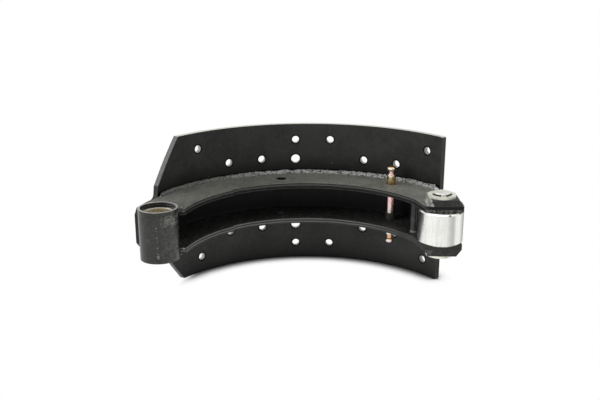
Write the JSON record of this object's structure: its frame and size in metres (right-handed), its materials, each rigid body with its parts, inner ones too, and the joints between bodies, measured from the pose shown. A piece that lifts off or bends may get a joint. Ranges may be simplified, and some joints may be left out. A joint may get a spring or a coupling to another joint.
{
  "type": "brake shoe",
  "caption": "Welded drum brake shoe without its lining: a rolled, drilled table on curved webs, with a bushed anchor boss and a free cam roller on a pin.",
  "frame": {"origin": "middle of the anchor bore, halfway between its ends", "axes": "+Z along the anchor bore and upwards as the shoe stands on its edge, +X from the anchor end towards the roller end, +Y from the drum axis outwards through the middle of the lining seat"},
  "size_m": [0.3444, 0.1816, 0.167],
  "materials": {
    "table_paint": "black paint, satin",
    "web_paint": "thin black paint, satin",
    "boss_paint": "black paint, satin, scuffed",
    "pad_paint": "black paint, satin",
    "bush_bronze": "turned bronze",
    "roller_steel": "bright zinc plate",
    "pin_steel": "ground steel",
    "washer_zinc": "bright zinc plate",
    "circlip_steel": "bright spring steel",
    "yellow_zinc": "yellow zinc plate",
    "collar_steel": "dark, satin",
    "spacer_paint": "black paint, satin",
    "weld_bead": "black paint over rough weld"
  },
  "bodies": {
    "shoe": {"shoe_table": "table_paint", "upper_web": "web_paint", "lower_web": "web_paint", "anchor_boss": "boss_paint", "anchor_bush": "bush_bronze", "upper_roller_pad": "pad_paint", "lower_roller_pad": "pad_paint", "roller_pin": "pin_steel", "upper_washer": "washer_zinc", "lower_washer": "washer_zinc", "upper_circlip": "circlip_steel", "lower_circlip": "circlip_steel", "spring_pin": "yellow_zinc", "spring_pin_collar": "collar_steel", "spacer_rod": "spacer_paint", "upper_table_weld": "weld_bead", "lower_table_weld": "weld_bead", "upper_boss_weld": "weld_bead", "lower_boss_weld": "weld_bead"},
    "roller": {"cam_roller": "roller_steel"}
  },
  "joints": [
    {"name": "roller_spin", "type": "hinge", "parent": "shoe", "child": "roller", "pos_m": [0.2934, 0.0359, 0], "axis": [0, 0, 1], "continuous": true}
  ]
}
